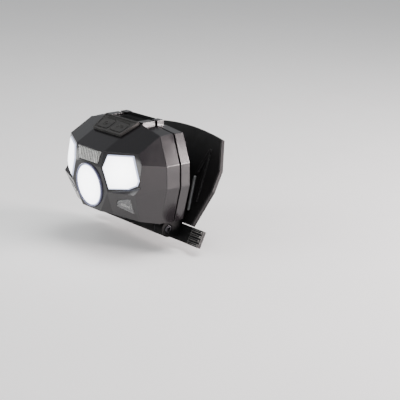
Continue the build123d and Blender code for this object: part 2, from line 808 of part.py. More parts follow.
def shroud_foot():
    """A dovetail foot behind the shield with a channel for the release tongue and its springs."""
    half_tall = foot_tall / 2
    start = shield_plane.from_local_coords(Vector(0, -half_tall, foot_front))
    side = Plane(origin=start, x_dir=(1, 0, 0), z_dir=shield_plane.y_dir)
    foot = side * extrude(foot_outline(), foot_tall)
    above = -shield_thick + 1
    foot -= brick(shield_plane, 0, (ledge + chamber_top) / 2, 2 * chamber_half, chamber_top - ledge,
                  chamber_back, above)
    channel = ledge + 0.5 + half_tall + 1
    foot -= brick(shield_plane, 0, ledge + 0.5 - channel / 2, 2 * (stem_half + slip), channel,
                  tongue_back - slip, above)
    window_low = head_low - release_travel - slip
    window_high = head_high + slip
    foot -= brick(shield_plane, 0, (window_low + window_high) / 2, 2 * (tooth_half + slip),
                  window_high - window_low, foot_back - 1, chamber_back + 1)
    for x, y in foot_screw_places():
        foot -= round_bar(shield_plane, x, y, 1.25 + 0.05, -shield_thick - 4, 0)
    return foot


def release_slider():
    """The bar below the shield with ribbed grips at both ends and a tongue up into the foot."""
    tall = slider_top - slider_low
    middle = (slider_top + slider_low) / 2
    bar = brick(shield_plane, 0, middle, 2 * bar_half, tall, -shield_thick, -0.2)
    for side in (1, -1):
        grip_x = side * (slider_half - 4.2)
        bar += brick(shield_plane, grip_x, middle, 8.4, tall, -0.9, 0.9)
        for index in range(4):
            bar += brick(shield_plane, grip_x, middle + (index - 1.5) * rib_pitch, 7.4, 0.9, 0.8, 1.6)
    stem_low = slider_low + 2
    stem_top = head_low + 0.5
    root_top = slider_top - 1
    bar += brick(shield_plane, 0, (stem_low + stem_top) / 2, 2 * stem_half, stem_top - stem_low,
                 tongue_back, tongue_front)
    bar += brick(shield_plane, 0, (stem_low + root_top) / 2, 2 * stem_half, root_top - stem_low,
                 tongue_back, -shield_thick + 0.5)
    head_middle = (head_low + head_high) / 2
    head_tall = head_high - head_low
    bar += brick(shield_plane, 0, head_middle, 2 * (chamber_half - slip), head_tall, head_back_face, tongue_front)
    return bar + brick(shield_plane, 0, head_middle, 2 * tooth_half, head_tall, foot_back - 1.2, tongue_back)


def release_springs():
    """Two coil springs that push the release tongue back up."""
    coil = 1.3
    wire = 0.4
    turns = 4
    length = head_low - ledge - 2 * wire - 0.5
    springs = []
    for side in (1, -1):
        start = shield_plane.from_local_coords(Vector(side * 5.3, ledge + wire + 0.25, -shield_thick - 1.9))
        seat = Plane(origin=start, x_dir=(1, 0, 0), z_dir=shield_plane.y_dir)
        path = Helix(pitch=length / turns, height=length, radius=coil)
        section = Plane(origin=path @ 0, z_dir=path % 0) * RegularPolygon(wire, 8)
        springs.append(seat * sweep(section, path=path))
    return Compound(children=springs)


# ---- the whole lamp ----
HEAD = {
    "front_shell": front_shell, "rear_shell": rear_shell, "shell_gasket": shell_gasket,
    "shell_screws": shell_screws, "spot_ring": spot_ring, "spot_lens": spot_lens,
    "spot_reflector": spot_reflector, "spot_led": spot_led, "heatsink": heatsink,
    "signal_window": signal_window, "signal_board": signal_board, "keypad": keypad,
    "light_button": light_button, "sensor_button": sensor_button, "switch_board": switch_board,
    "battery_cell": battery_cell, "battery_tray": battery_tray, "driver_board": driver_board,
    "charge_port": charge_port, "charge_flap": charge_flap, "flap_pin": flap_pin,
    "hinge_lug": hinge_lug, "lug_screws": lug_screws, "hinge_screws": hinge_screws,
    "friction_washers": friction_washers, "guard_bars": guard_bars, "shield_plate": shield_plate,
    "foot_screws": foot_screws, "yoke": yoke, "yoke_screws": yoke_screws,
    "shroud_foot": shroud_foot, "release_slider": release_slider, "release_springs": release_springs,
}
PAIRS = {"flood_lens": flood_lens, "flood_tray": flood_tray, "flood_board": flood_board,
         "side_window": side_window, "side_led": side_led}


def main():
    os.makedirs("parts", exist_ok=True)
    seat = Pos(*(shield_face * stand - shield_middle))
    for name, make in HEAD.items():
        export_step(seat * make(), f"parts/{name}.step")
    for name, make in PAIRS.items():
        piece = seat * make()
        export_step(piece, f"parts/{name}_left.step")
        export_step(mirrored(piece), f"parts/{name}_right.step")


main()
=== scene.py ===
"""Looks of a helmet lamp: a faceted head on a tilting shield mount. Metres, in the CAD part's own frame."""
import json
import math

import bmesh
import bpy
from mathutils import Matrix, Vector


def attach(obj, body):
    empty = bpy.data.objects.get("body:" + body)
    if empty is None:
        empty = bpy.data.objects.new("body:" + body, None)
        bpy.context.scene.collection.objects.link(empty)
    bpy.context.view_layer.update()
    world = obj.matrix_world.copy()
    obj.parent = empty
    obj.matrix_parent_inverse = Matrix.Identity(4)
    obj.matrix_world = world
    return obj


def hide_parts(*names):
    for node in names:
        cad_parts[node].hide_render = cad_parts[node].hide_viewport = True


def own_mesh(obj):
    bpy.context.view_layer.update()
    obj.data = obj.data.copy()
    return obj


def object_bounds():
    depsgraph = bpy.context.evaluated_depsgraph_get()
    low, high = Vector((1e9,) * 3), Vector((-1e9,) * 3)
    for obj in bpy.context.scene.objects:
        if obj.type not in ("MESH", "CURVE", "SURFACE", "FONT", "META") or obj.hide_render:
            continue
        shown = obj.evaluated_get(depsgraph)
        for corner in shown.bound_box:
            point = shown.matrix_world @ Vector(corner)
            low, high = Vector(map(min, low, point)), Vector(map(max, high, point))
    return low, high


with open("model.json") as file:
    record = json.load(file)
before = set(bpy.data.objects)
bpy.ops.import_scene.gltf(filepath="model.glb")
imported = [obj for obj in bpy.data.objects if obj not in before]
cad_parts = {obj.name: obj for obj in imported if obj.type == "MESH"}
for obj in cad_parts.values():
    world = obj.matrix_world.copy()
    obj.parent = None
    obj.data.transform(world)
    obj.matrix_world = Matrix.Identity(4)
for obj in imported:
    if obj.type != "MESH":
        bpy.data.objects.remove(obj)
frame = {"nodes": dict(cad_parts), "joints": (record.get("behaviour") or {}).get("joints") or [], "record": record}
cad_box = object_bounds()
MM = 0.001

# Directions of the frame: the lamp shines towards -Y, and the mount leans back along the foot's own axis.
OUTWARD = -Vector(frame["record"]["mounts"][0]["axis"])
UP = Vector((0, 0, 1))
ACROSS = Vector((1, 0, 0))


# ---- nodes ----
def node(tree, kind, inputs=None, **settings):
    """Add a node with its settings. An input is a value, another node's output, or a list of outputs."""
    made = tree.nodes.new(kind)
    for name, value in settings.items():
        setattr(made, name, value)
    for key, value in (inputs or {}).items():
        sources = value if isinstance(value, list) else [value]
        for source in sources:
            if isinstance(source, bpy.types.NodeSocket):
                tree.links.new(source, made.inputs[key])
            else:
                made.inputs[key].default_value = source
    return made


def linear(code):
    """An sRGB hex colour as the linear colour that a shader takes."""
    shares = [int(code[start:start + 2], 16) / 255 for start in (1, 3, 5)]
    return (*[s / 12.92 if s <= 0.04045 else ((s + 0.055) / 1.055) ** 2.4 for s in shares], 1.0)


def per(size_mm):
    """Pattern scale whose features are this many millimetres across."""
    return 1000 / size_mm


def wave_scale(period_mm):
    """Scale of a wave texture whose bands repeat at this distance."""
    return math.pi / (10 * period_mm * MM)


# ---- materials ----
COLOUR_A, COLOUR_B, COLOUR_OUT = 6, 7, 2


class Surface:
    """A material with the parts that every surface here starts from: coordinates and a shader."""

    def __init__(self, name):
        self.material = bpy.data.materials.new(name)
        self.material.use_nodes = True
        self.tree = self.material.node_tree
        self.tree.nodes.clear()
        self.coordinates = self.add("ShaderNodeTexCoord")
        self.place = self.coordinates.outputs["Object"]
        self.shader = self.add("ShaderNodeBsdfPrincipled")
        self.add("ShaderNodeOutputMaterial", {"Surface": self.shader.outputs["BSDF"]})

    def add(self, kind, inputs=None, **settings):
        return node(self.tree, kind, inputs, **settings)

    def noise(self, size_mm, detail=3.0, stretch=(1, 1, 1)):
        """Cloudy noise with features of a real size, drawn out along an axis by a stretch below one."""
        squeezed = self.add("ShaderNodeMapping", {"Vector": self.place, "Scale": stretch})
        made = self.add("ShaderNodeTexNoise", {"Vector": squeezed.outputs[0], "Scale": per(size_mm),
                                               "Detail": detail, "Roughness": 0.6})
        return made.outputs["Fac"]

    def spread(self, source, low, high, start=0.35, end=0.65):
        """Stretch a value's middle range to the range wanted."""
        made = self.add("ShaderNodeMapRange", {"Value": source, "From Min": start, "From Max": end,
                                               "To Min": low, "To Max": high})
        return made.outputs[0]

    def maths(self, operation, first, second=0.0):
        return self.add("ShaderNodeMath", {0: first, 1: second}, operation=operation).outputs[0]

    def blend(self, share, first, second):
        made = self.add("ShaderNodeMix", {0: share, COLOUR_A: first, COLOUR_B: second}, data_type="RGBA")
        return made.outputs[COLOUR_OUT]

    def rounding(self, radius_mm):
        """The normal with its sharp edges rounded off, and how much of an edge each point is."""
        rounded = self.add("ShaderNodeBevel", {"Radius": radius_mm * MM}, samples=6).outputs[0]
        flat = self.add("ShaderNodeNewGeometry").outputs["Normal"]
        same = self.add("ShaderNodeVectorMath", {0: rounded, 1: flat}, operation="DOT_PRODUCT")
        return rounded, self.spread(self.maths("SUBTRACT", 1.0, same.outputs["Value"]), 0, 1, 0.01, 0.12)

    def relief(self, height, depth_mm, normal=None):
        made = self.add("ShaderNodeBump", {"Height": height, "Distance": depth_mm * MM, "Strength": 1.0})
        if normal:
            self.tree.links.new(normal, made.inputs["Normal"])
        self.tree.links.new(made.outputs[0], self.shader.inputs["Normal"])
        return made.outputs[0]

    def set(self, **inputs):
        """Fill the shader's inputs; an underscore in a name stands for a space."""
        for name, value in inputs.items():
            socket = self.shader.inputs[name.replace("_", " ")]
            if isinstance(value, bpy.types.NodeSocket):
                self.tree.links.new(value, socket)
            else:
                socket.default_value = value
        return self.material


def moulded(name, body, wear_and_highlight_colour, grain_mm, depth_mm, roughness, edge_mm=0.3, fibre=None, shine=0.5):
    """A moulded plastic: fine grain, cloudy gloss, paler edges that stand for rubbed wear and a painted highlight,
    faint dust, and any fibre streaks.
    """
    surface = Surface(name)
    rounded, edge = surface.rounding(edge_mm)
    cloud = surface.noise(9, 5)
    rub = surface.maths("MULTIPLY", edge, surface.spread(surface.noise(2.4, 4), 0.15, 0.8))
    dust = surface.spread(surface.noise(0.7, 2), 0, 0.35, 0.66, 0.8)
    # The pale colour marks dust and rubbed wear on edges, and on the shield and the slider's ribs it is also a
    # painted edge highlight.
    colour = surface.blend(surface.maths("MAXIMUM", rub, dust), linear(body), linear(wear_and_highlight_colour))
    low, high = roughness
    grain = surface.noise(grain_mm, 2)
    if fibre:
        grain = surface.maths("ADD", grain, surface.noise(fibre, 3, (0.18, 1, 1)))
    surface.relief(grain, depth_mm, rounded)
    return surface.set(Base_Color=colour, Roughness=surface.spread(cloud, low, high), IOR=1.5,
                       Specular_IOR_Level=shine)


def brushed(name, body, dark, line_mm, roughness, stretch, edge_mm=0.15):
    """A bare metal with its brushing or turning lines drawn out along one axis, and small stains."""
    surface = Surface(name)
    rounded, _ = surface.rounding(edge_mm)
    lines = surface.noise(line_mm, 3, stretch)
    stain = surface.spread(surface.noise(1.8, 4), 0, 0.6, 0.5, 0.75)
    surface.relief(lines, 0.006, rounded)
    low, high = roughness
    return surface.set(Base_Color=surface.blend(stain, linear(body), linear(dark)), Metallic=1.0,
                       Roughness=surface.spread(lines, low, high))


def shell_nylon():
    # Glass-filled nylon, moulded in a spark-eroded tool: near black, half gloss, with a fine even grain.
    return moulded("satin black moulded nylon", "#141214", "#302c30", 0.45, 0.006, (0.15, 0.23))


def mount_nylon():
    # The same nylon with more glass in it: duller, with flow streaks and grey where edges rub.
    return moulded("matt glass-filled nylon", "#0a0a0b", "#2c2d2e", 0.6, 0.02, (0.5, 0.66), 0.2, 1.4, 0.08)


def shield_nylon():
    # Glass-filled nylon, moulded and lightly scuffed by handling: matt, with paler edges that are partly scuffs
    # and partly a painted highlight.
    return moulded("scuffed shield nylon with painted edge highlight", "#0f0e0f", "#5b5c5c", 0.6, 0.022, (0.48, 0.64), 0.3, 1.6, 0.2)


def grip_nylon():
    # The slider's nylon: the pale colour along the edges of its ribs is a painted highlight.
    return moulded("slider nylon with painted rib highlights", "#0e0e0f", "#c2c2be", 0.6, 0.016, (0.4, 0.55), 0.35, 1.4, 0.25)


def silicone():
    # Silicone rubber, compression moulded: dark grey, powdery and soft to the light.
    surface = Surface("moulded silicone rubber")
    rounded, edge = surface.rounding(0.35)
    smear = surface.spread(surface.noise(3.5, 5), 0, 0.5)
    colour = surface.blend(surface.maths("MAXIMUM", smear, edge), linear("#1d1c1b"), linear("#353331"))
    surface.relief(surface.noise(0.5, 3), 0.02, rounded)
    return surface.set(Base_Color=colour, Roughness=surface.spread(surface.noise(2, 3), 0.55, 0.72),
                       Sheen_Weight=0.08, IOR=1.43)


def washer_rubber():
    # Nitrile rubber, cut from sheet: flat black with a cloth-like grain.
    return moulded("cut nitrile rubber", "#17171a", "#2e2e30", 0.35, 0.02, (0.7, 0.85), 0.1)


def clear_ring():
    # Polycarbonate ring, polished: dark but glassy; its cold rim of light from the lens is painted, as a pale
    # bluish edge colour and a faint glow.
    surface = Surface("polished polycarbonate ring")
    rounded, edge = surface.rounding(0.35)
    # Painted highlight: the edges take a pale bluish colour, and the emission paints a faint glow over the whole
    # ring.
    colour = surface.blend(edge, linear("#4c4d60"), linear("#a5a8d4"))
    surface.relief(surface.noise(1.2, 2), 0.004, rounded)
    return surface.set(Base_Color=colour, Roughness=surface.spread(surface.noise(3, 3), 0.08, 0.2),
                       Coat_Weight=0.6, Emission_Color=colour, Emission_Strength=0.25)


def lit_lens(name, node_name, glow_strength):
    """Clear polycarbonate, moulded and polished, lit from behind: its face glows and its rim stays glassy."""
    surface = Surface(name)
    centre, facing, _ = flat_side(node_name)
    turned = surface.add("ShaderNodeVectorMath", {0: surface.coordinates.outputs["Normal"], 1: facing},
                         operation="DOT_PRODUCT").outputs["Value"]
    face = surface.spread(turned, 0, 1, 0.9, 0.995)
    off = surface.add("ShaderNodeVectorMath", {0: surface.place, 1: centre}, operation="DISTANCE")
    reach = max((Vector(corner.co) - centre).length for corner in frame["nodes"][node_name].data.vertices)
    fade = surface.spread(off.outputs["Value"], 1.0, 0.72, 0.55 * reach, reach)
    lumps = surface.spread(surface.noise(1.1, 2), 0.9, 1.0)
    light = surface.maths("MULTIPLY", surface.maths("MULTIPLY", face, fade), lumps)
    colour = surface.blend(light, linear("#7f8496"), linear("#fbfcff"))
    rounded, _ = surface.rounding(0.2)
    surface.relief(surface.noise(0.8, 2), 0.006, rounded)
    return surface.set(Base_Color=colour, Roughness=surface.spread(lumps, 0.06, 0.16, 0.9, 1.0), IOR=1.58,
                       Coat_Weight=0.5, Emission_Color=colour, Emission_Strength=glow_strength)


def prism_pane(name, row_mm, valley, glint_colour, rim):
    """Frosted polycarbonate with moulded prisms: rows of painted glints on a darker ground, and a painted
    highlight along its edges.
    """
    surface = Surface(name)
    rounded, edge = surface.rounding(0.25)
    rows = surface.add("ShaderNodeTexWave", {"Vector": surface.place, "Scale": wave_scale(row_mm),
                                             "Distortion": 0.5, "Detail": 2.0, "Phase Offset": math.pi})
    glint = surface.maths("MULTIPLY", surface.spread(rows.outputs["Fac"], 0, 1, 0.4, 0.75),
                          surface.spread(surface.noise(0.9, 3), 0.35, 1))
    # Painted light: the rows carry painted glints, and the edges carry a painted highlight in the pane's last
    # colour.
    colour = surface.blend(edge, surface.blend(glint, linear(valley), linear(glint_colour)), linear(rim))
    surface.relief(surface.maths("ADD", rows.outputs["Fac"], surface.noise(0.5, 2)), 0.05, rounded)
    return surface.set(Base_Color=colour, Roughness=surface.spread(surface.noise(1.5, 3), 0.16, 0.34),
                       IOR=1.58, Coat_Weight=0.4)


def guard_steel():
    # Stainless steel wire, drawn and bead blasted: pale grey with fine lines along the bar.
    return brushed("drawn stainless steel", "#8b8c8d", "#5f6060", 0.3, (0.36, 0.55), (1, 1, 0.12))


def pin_steel():
    # Stainless steel pin and screws, turned and polished: bright, with rings round the axis.
    return brushed("turned stainless steel", "#cfd1d2", "#8d8e8e", 0.2, (0.14, 0.3), (1, 0.2, 0.2))


def black_steel():
    # Alloy steel screw, black oxide finish: dark, oily, with bare metal showing on rubbed edges.
    surface = Surface("black oxide steel")
    rounded, edge = surface.rounding(0.15)
    rub = surface.maths("MULTIPLY", edge, surface.spread(surface.noise(0.9, 4), 0.1, 0.9))
    surface.relief(surface.noise(0.25, 3), 0.006, rounded)
    return surface.set(Base_Color=surface.blend(rub, linear("#29292c"), linear("#8f8f92")), Metallic=1.0,
                       Roughness=surface.spread(surface.noise(1.5, 4), 0.3, 0.5))


def mirror_coat():
    # Aluminium vapour on moulded plastic: a mirror with a faint orange-peel ripple.
    surface = Surface("vapour-coated reflector")
    surface.relief(surface.noise(1.4, 2), 0.02)
    return surface.set(Base_Color=surface.blend(surface.noise(4, 3), linear("#e2e3e6"), linear("#f2f3f5")),
                       Metallic=1.0, Roughness=surface.spread(surface.noise(0.6, 3), 0.04, 0.12))


def tray_white():
    # White ABS, moulded glossy, so that it throws stray light forward.
    return moulded("glossy white ABS", "#e6e6e2", "#c4c2ba", 0.8, 0.008, (0.18, 0.32), 0.2)


def emitter_board():
    # White solder mask over an aluminium board, with yellow phosphor where the emitters stand.
    surface = Surface("white emitter board")
    cells = surface.add("ShaderNodeTexVoronoi", {"Vector": surface.place, "Scale": per(3.2)})
    spots = surface.spread(cells.outputs["Distance"], 1, 0, 0.18, 0.26)
    surface.relief(surface.noise(0.5, 3), 0.01)
    return surface.set(Base_Color=surface.blend(spots, linear("#e9eae6"), linear("#e3c24e")),
                       Roughness=surface.spread(surface.noise(1, 3), 0.3, 0.5))


def circuit_board():
    # Glass-epoxy board under green solder mask: glossy, with raised copper runs and pale pads.
    surface = Surface("green solder mask board")
    runs = surface.add("ShaderNodeTexBrick", {"Vector": surface.place, "Scale": per(2.5), "Mortar Size": 0.06,
                                              "Color1": linear("#0e3d26"), "Color2": linear("#12482d"),
                                              "Mortar": linear("#2b7a4c")})
    cells = surface.add("ShaderNodeTexVoronoi", {"Vector": surface.place, "Scale": per(2.8)})
    pads = surface.spread(cells.outputs["Distance"], 1, 0, 0.12, 0.16)
    surface.relief(surface.maths("ADD", runs.outputs["Fac"], pads), 0.03)
    return surface.set(Base_Color=surface.blend(pads, runs.outputs["Color"], linear("#c9c7bd")),
                       Roughness=surface.spread(surface.noise(2, 3), 0.22, 0.4))


def machined_aluminium():
    # Aluminium, milled and left bare: pale, with straight cutter lines.
    return brushed("milled aluminium", "#c6c8ca", "#9a9c9e", 0.35, (0.24, 0.42), (0.1, 1, 1), 0.2)


def cell_sleeve():
    # Lithium cell in shrunk PVC sleeve: glossy blue with fine wrinkles round its ends.
    surface = Surface("shrunk PVC sleeve")
    wrinkle = surface.noise(1.6, 4, (1, 0.2, 0.2))
    surface.relief(wrinkle, 0.03)
    return surface.set(Base_Color=surface.blend(surface.noise(5, 4), linear("#24507e"), linear("#2f6396")),
                       Roughness=surface.spread(wrinkle, 0.2, 0.38), Coat_Weight=0.3)


def studio_floor():
    # Opal acrylic light table: white, even, faintly lit from below.
    surface = Surface("opal light table")
    surface.relief(surface.noise(2, 3), 0.02)
    return surface.set(Base_Color=surface.blend(surface.noise(60, 3), linear("#f0f0ef"), linear("#f5f5f4")),
                       Roughness=surface.spread(surface.noise(20, 3), 0.75, 0.9),
                       Emission_Color=linear("#f4f4f3"), Emission_Strength=0.14)


# ---- reading the frame and its CAD nodes ----
def joint_named(name):
    return next(joint for joint in frame["joints"] if joint["name"] == name)


def welded(node_name):
    """A copy of a CAD node's mesh with its loose triangles joined."""
    mesh = bmesh.new()
    mesh.from_mesh(frame["nodes"][node_name].data)
    bmesh.ops.remove_doubles(mesh, verts=mesh.verts, dist=MM / 1000)
    return mesh


def islands(node_name):
    """The points of each separate solid in a CAD node."""
    mesh = welded(node_name)
    left = set(mesh.verts)
    found = []
    while left:
        group = {left.pop()}
        edge_of_group = list(group)
        while edge_of_group:
            vertex = edge_of_group.pop()
            for edge in vertex.link_edges:
                other = edge.other_vert(vertex)
                if other not in group:
                    group.add(other)
                    edge_of_group.append(other)
        left -= group
        found.append([vertex.co.copy() for vertex in group])
    mesh.free()

    def middle(points):
        return tuple(round(share, 5) for share in sum(points, Vector()) / len(points))

    return sorted(found, key=middle)


def flat_side(node_name):
    """Centre, facing and corners of a node's largest flat side that looks forward out of the lamp."""
    mesh = welded(node_name)
    areas = {}
    for face in mesh.faces:
        if face.normal.y < 0:
            key = tuple(round(share, 2) for share in face.normal)
            areas.setdefault(key, []).append(face)
    faces = max(areas.values(), key=lambda group: sum(face.calc_area() for face in group))
    area = sum(face.calc_area() for face in faces)
    centre = sum((face.calc_center_median() * face.calc_area() for face in faces), Vector()) / area
    facing = sum((face.normal * face.calc_area() for face in faces), Vector()).normalized()
    corners = [vertex.co.copy() for face in faces for vertex in face.verts]
    mesh.free()
    return centre, facing, corners


# ---- geometry trees ----
def new_tree(name, sizes):
    """A geometry tree with its input geometry, a named input for each size, and a material."""
    tree = bpy.data.node_groups.new(name, "GeometryNodeTree")
    tree.interface.new_socket("Geometry", in_out="INPUT", socket_type="NodeSocketGeometry")
    for size in sizes:
        kind = "NodeSocketInt" if size.startswith("Number") else "NodeSocketFloat"
        tree.interface.new_socket(size, in_out="INPUT", socket_type=kind)
    tree.interface.new_socket("Material", in_out="INPUT", socket_type="NodeSocketMaterial")
    tree.interface.new_socket("Geometry", in_out="OUTPUT", socket_type="NodeSocketGeometry")
    return tree, node(tree, "NodeGroupInput").outputs


def close_tree(tree, given, geometry):
    """End a tree in real geometry with the piece's material on it."""
    real = node(tree, "GeometryNodeRealizeInstances", {"Geometry": geometry})
    painted = node(tree, "GeometryNodeSetMaterial",
                   {"Geometry": real.outputs[0], "Material": given["Material"]})
    node(tree, "NodeGroupOutput", {0: painted.outputs[0]})
    return tree


def lifted(tree, geometry, height):
    """Geometry moved along its own Z by a height."""
    shift = node(tree, "ShaderNodeCombineXYZ", {"Z": height})
    moved = node(tree, "GeometryNodeTransform", {"Geometry": geometry, "Translation": shift.outputs[0]})
    return moved.outputs[0]


def times(tree, first, second):
    return node(tree, "ShaderNodeMath", {0: first, 1: second}, operation="MULTIPLY").outputs[0]


def plus(tree, first, second):
    return node(tree, "ShaderNodeMath", {0: first, 1: second}, operation="ADD").outputs[0]


def set_along(tree, geometry, piece):
    """Stand a piece on every point, its Z turned to the direction stored at the point."""
    along = node(tree, "GeometryNodeInputNamedAttribute", {"Name": "along"}, data_type="FLOAT_VECTOR")
    turn = node(tree, "FunctionNodeAlignRotationToVector", {"Vector": along.outputs[0]}, axis="Z")
    return node(tree, "GeometryNodeInstanceOnPoints",
                {"Points": geometry, "Instance": piece, "Rotation": turn.outputs[0]}).outputs[0]


def screw_tree():
    """Socket-head screws: a threaded shank below each point and a drilled head above it."""
    tree, given = new_tree("socket screws", ["Shank radius", "Shank length", "Head radius", "Head height",
                                             "Thread pitch", "Number of threads"])
    core = node(tree, "GeometryNodeMeshCylinder",
                {"Vertices": 24, "Radius": times(tree, given["Shank radius"], 0.86),
                 "Depth": given["Shank length"]})
    core = lifted(tree, core.outputs[0], times(tree, given["Shank length"], -0.5))
    half = times(tree, given["Thread pitch"], 0.5)
    cones = [node(tree, "GeometryNodeMeshCone",
                  {"Vertices": 24, "Radius Top": times(tree, given["Shank radius"], top),
                   "Radius Bottom": times(tree, given["Shank radius"], bottom), "Depth": half}).outputs[0]
             for top, bottom in ((1.0, 0.84), (0.84, 1.0))]
    thread = node(tree, "GeometryNodeJoinGeometry", {0: [cones[0], lifted(tree, cones[1], half)]})
    drop = node(tree, "ShaderNodeCombineXYZ", {"Z": times(tree, given["Thread pitch"], -1)})
    row = node(tree, "GeometryNodeMeshLine", {"Count": given["Number of threads"], "Offset": drop.outputs[0]},
               mode="OFFSET")
    row = lifted(tree, row.outputs[0], times(tree, given["Thread pitch"], -1.2))
    threads = node(tree, "GeometryNodeInstanceOnPoints", {"Points": row, "Instance": thread.outputs[0]})
    head = node(tree, "GeometryNodeMeshCylinder", {"Vertices": 36, "Radius": given["Head radius"],
                                                   "Depth": times(tree, given["Head height"], 0.8)})
    head = lifted(tree, head.outputs[0], times(tree, given["Head height"], 0.4))
    crown = node(tree, "GeometryNodeMeshCone", {"Vertices": 36, "Radius Bottom": given["Head radius"],
                                                "Radius Top": times(tree, given["Head radius"], 0.86),
                                                "Depth": times(tree, given["Head height"], 0.2)})
    crown = lifted(tree, crown.outputs[0], times(tree, given["Head height"], 0.8))
    socket = node(tree, "GeometryNodeMeshCylinder",
                  {"Vertices": 6, "Radius": times(tree, given["Head radius"], 0.55),
                   "Depth": given["Head height"]})
    socket = lifted(tree, socket.outputs[0], given["Head height"])
    solid = node(tree, "GeometryNodeMeshBoolean", {1: [head, crown]}, operation="UNION")
    drilled = node(tree, "GeometryNodeMeshBoolean", {0: solid.outputs[0], 1: socket}, operation="DIFFERENCE")
    screw = node(tree, "GeometryNodeJoinGeometry", {0: [core, threads.outputs[0], drilled.outputs[0]]})
    return close_tree(tree, given, set_along(tree, given["Geometry"], screw.outputs[0]))


def coil_tree():
    """Coil springs standing on the points, wound from round wire with closed ends."""
    tree, given = new_tree("coil springs", ["Coil radius", "Wire radius", "Length", "Number of turns"])
    path = node(tree, "GeometryNodeCurveSpiral",
                {"Resolution": 28, "Rotations": given["Number of turns"], "Start Radius": given["Coil radius"],
                 "End Radius": given["Coil radius"], "Height": given["Length"]})
    wire = node(tree, "GeometryNodeCurvePrimitiveCircle", {"Resolution": 10, "Radius": given["Wire radius"]})
    coil = node(tree, "GeometryNodeCurveToMesh", {"Curve": path.outputs[0], "Profile Curve": wire.outputs[0],
                                                  "Fill Caps": True})
    return close_tree(tree, given, set_along(tree, given["Geometry"], coil.outputs[0]))


def bar_tree():
    """A row of equal prism bars along the X axis of each point's own frame, each with a ridge on top."""
    tree, given = new_tree("prism bars", ["Spacing", "Bar width", "Bar height", "Bar length",
                                          "Number of bars"])
    bar = node(tree, "GeometryNodeMeshCylinder",
               {"Vertices": 3, "Radius": times(tree, given["Bar width"], 0.5), "Depth": given["Bar length"]})
    laid = node(tree, "GeometryNodeTransform", {"Geometry": bar.outputs[0], "Rotation": (math.pi / 2, 0, 0)})
    step = node(tree, "ShaderNodeCombineXYZ", {"X": given["Spacing"]})
    row = node(tree, "GeometryNodeMeshLine", {"Count": given["Number of bars"], "Offset": step.outputs[0]},
               mode="OFFSET")
    count_less_one = plus(tree, given["Number of bars"], -1)
    half_row = times(tree, times(tree, count_less_one, given["Spacing"]), -0.5)
    shift = node(tree, "ShaderNodeCombineXYZ", {"X": half_row})
    row = node(tree, "GeometryNodeTransform", {"Geometry": row.outputs[0], "Translation": shift.outputs[0]})
    bars = node(tree, "GeometryNodeInstanceOnPoints", {"Points": row.outputs[0], "Instance": laid.outputs[0]})
    flat = node(tree, "ShaderNodeCombineXYZ", {"X": 1.0, "Y": 1.0, "Z": given["Bar height"]})
    low = node(tree, "GeometryNodeTransform", {"Geometry": bars.outputs[0], "Scale": flat.outputs[0]})
    return close_tree(tree, given, set_along(tree, given["Geometry"], low.outputs[0]))


def dish_tree():
    """A reflector cup: a parabola turned round Z and pressed into rows of flat facets, with a real wall."""
    tree, given = new_tree("reflector dish", ["Rim radius", "Neck radius", "Depth", "Wall",
                                              "Number of facets", "Number of rows"])
    grid = node(tree, "GeometryNodeMeshGrid", {"Size X": 1.0, "Size Y": 1.0,
                                               "Vertices X": plus(tree, given["Number of facets"], 1),
                                               "Vertices Y": plus(tree, given["Number of rows"], 1)})
    at = node(tree, "GeometryNodeInputPosition")
    split = node(tree, "ShaderNodeSeparateXYZ", {0: at.outputs[0]})
    angle = times(tree, plus(tree, split.outputs["X"], 0.5), 2 * math.pi)
    share = plus(tree, split.outputs["Y"], 0.5)
    neck_square = times(tree, given["Neck radius"], given["Neck radius"])
    rim_square = times(tree, given["Rim radius"], given["Rim radius"])
    gain = plus(tree, rim_square, times(tree, neck_square, -1))
    square = plus(tree, neck_square, times(tree, share, gain))
    radius = node(tree, "ShaderNodeMath", {0: square}, operation="SQRT").outputs[0]
    turned = [node(tree, "ShaderNodeMath", {0: angle}, operation=kind).outputs[0]
              for kind in ("COSINE", "SINE")]
    place = node(tree, "ShaderNodeCombineXYZ", {"X": times(tree, radius, turned[0]),
                                                "Y": times(tree, radius, turned[1]),
                                                "Z": times(tree, plus(tree, share, -1), given["Depth"])})
    cup = node(tree, "GeometryNodeSetPosition", {"Geometry": grid.outputs[0], "Position": place.outputs[0]})
    cup = node(tree, "GeometryNodeMergeByDistance", {"Geometry": cup.outputs[0], "Distance": MM / 100})
    back = node(tree, "GeometryNodeExtrudeMesh",
                {"Mesh": cup.outputs[0], "Offset Scale": times(tree, given["Wall"], -1), "Individual": False})
    front = node(tree, "GeometryNodeFlipFaces", {0: cup.outputs[0]})
    both = node(tree, "GeometryNodeJoinGeometry", {0: [back.outputs[0], front.outputs[0]]})
    closed = node(tree, "GeometryNodeMergeByDistance", {"Geometry": both.outputs[0], "Distance": MM / 100})
    return close_tree(tree, given, set_along(tree, given["Geometry"], closed.outputs[0]))


def points_mesh(name, places, directions):
    """A mesh of loose points, each with the direction that its piece stands along."""
    mesh = bpy.data.meshes.new(name)
    mesh.from_pydata([tuple(place) for place in places], [], [])
    along = mesh.attributes.new("along", "FLOAT_VECTOR", "POINT")
    for value, direction in zip(along.data, directions):
        value.vector = direction
    return mesh


def made_by(tree, name, mesh, sizes, body, slot_name, *replaced):
    """Run a tree on a mesh of points, keep the result as a plain mesh, and let it ride on its body."""
    piece = bpy.data.objects.new(name, mesh)
    bpy.context.scene.collection.objects.link(piece)
    modifier = piece.modifiers.new(tree.name, "NODES")
    modifier.node_group = tree
    for item in tree.interface.items_tree:
        if item.in_out == "INPUT" and item.name in sizes:
            modifier[item.identifier] = sizes[item.name]
    shown = piece.evaluated_get(bpy.context.evaluated_depsgraph_get())
    plain = bpy.data.meshes.new_from_object(shown)
    piece.modifiers.clear()
    piece.data = plain
    shape = bmesh.new()
    shape.from_mesh(plain)
    bmesh.ops.recalc_face_normals(shape, faces=shape.faces)
    shape.to_mesh(plain)
    shape.free()
    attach(piece, body)
    if replaced:
        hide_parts(*replaced)
    return piece


